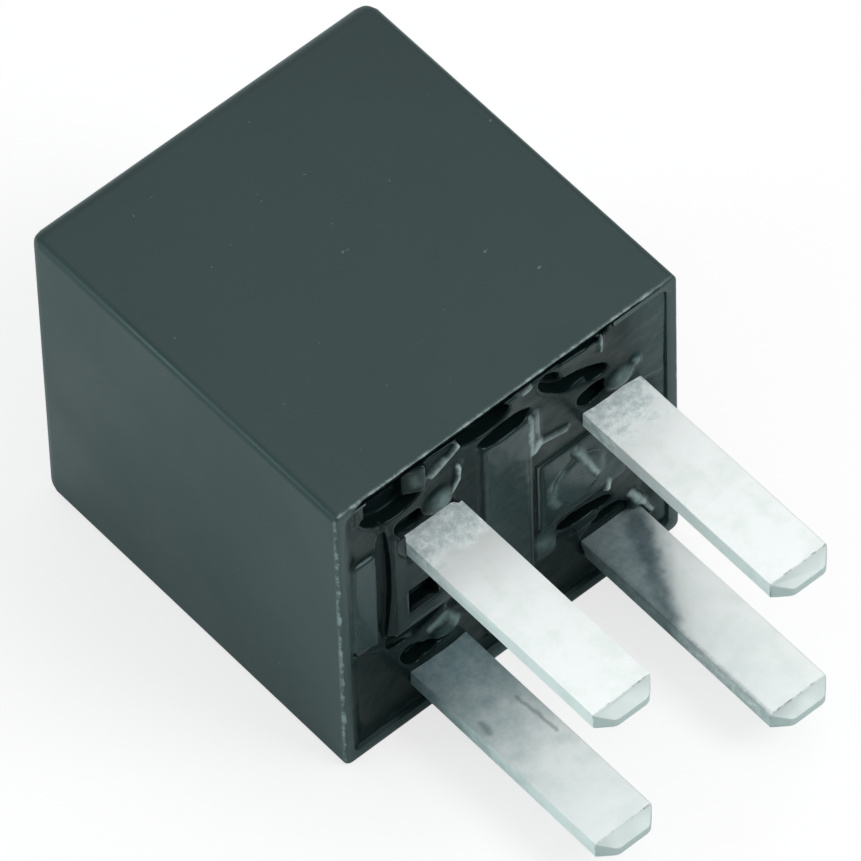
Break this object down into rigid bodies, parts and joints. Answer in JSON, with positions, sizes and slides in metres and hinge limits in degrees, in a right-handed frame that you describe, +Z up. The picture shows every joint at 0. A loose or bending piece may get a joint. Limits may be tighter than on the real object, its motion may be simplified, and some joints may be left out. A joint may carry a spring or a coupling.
{
  "type": "automotive relay",
  "caption": "Small sealed plug-in relay: a plain rounded box cover with flat blade terminals at its open, resin-filled end and a hinged armature inside.",
  "frame": {"origin": "middle of the cover's side that the relay rests on", "axes": "+X across the terminal end, towards the make terminal; the blades point along -Y and the closed end faces +Y; +Z up from the resting side"},
  "size_m": [0.0168, 0.0286, 0.0162],
  "materials": {
    "cover_plastic": "satin moulded glass-filled polyester",
    "base_plastic": "moulded glass-filled polyester",
    "potting_resin": "cured black epoxy, glossy as poured",
    "tin_plate": "matt tin plate on brass strip",
    "bobbin_plastic": "moulded nylon",
    "enamelled_copper": "enamelled copper wire",
    "magnet_iron": "nickel-plated soft iron",
    "leaf_bronze": "rolled beryllium-free spring bronze",
    "plated_steel": "nickel-plated steel",
    "contact_silver": "silver alloy, satin",
    "resistor_lacquer": "lacquered film resistor"
  },
  "bodies": {
    "relay_body": {"cover": "cover_plastic", "base": "base_plastic", "sealing_resin": "potting_resin", "terminal_30": "tin_plate", "terminal_87": "tin_plate", "terminal_85": "tin_plate", "terminal_86": "tin_plate", "bobbin": "bobbin_plastic", "coil_winding": "enamelled_copper", "coil_start_lead": "enamelled_copper", "coil_finish_lead": "enamelled_copper", "core": "magnet_iron", "yoke": "magnet_iron", "contact_spring": "leaf_bronze", "spring_rivets": "plated_steel", "fixed_contact": "contact_silver", "back_stop": "plated_steel", "resistor_body": "resistor_lacquer", "resistor_leads": "tin_plate"},
    "armature": {"armature": "magnet_iron", "armature_rivets": "plated_steel", "moving_contact": "contact_silver"}
  },
  "joints": [
    {"name": "armature_rock", "type": "hinge", "parent": "relay_body", "child": "armature", "pos_m": [-0.0066, 0.00495, 0.0081], "axis": [0, 0, -1], "range_deg": [0, 3], "stiffness_Nm_per_rad": 0.03, "springref_deg": -5.73, "deforming": ["contact_spring"]}
  ]
}
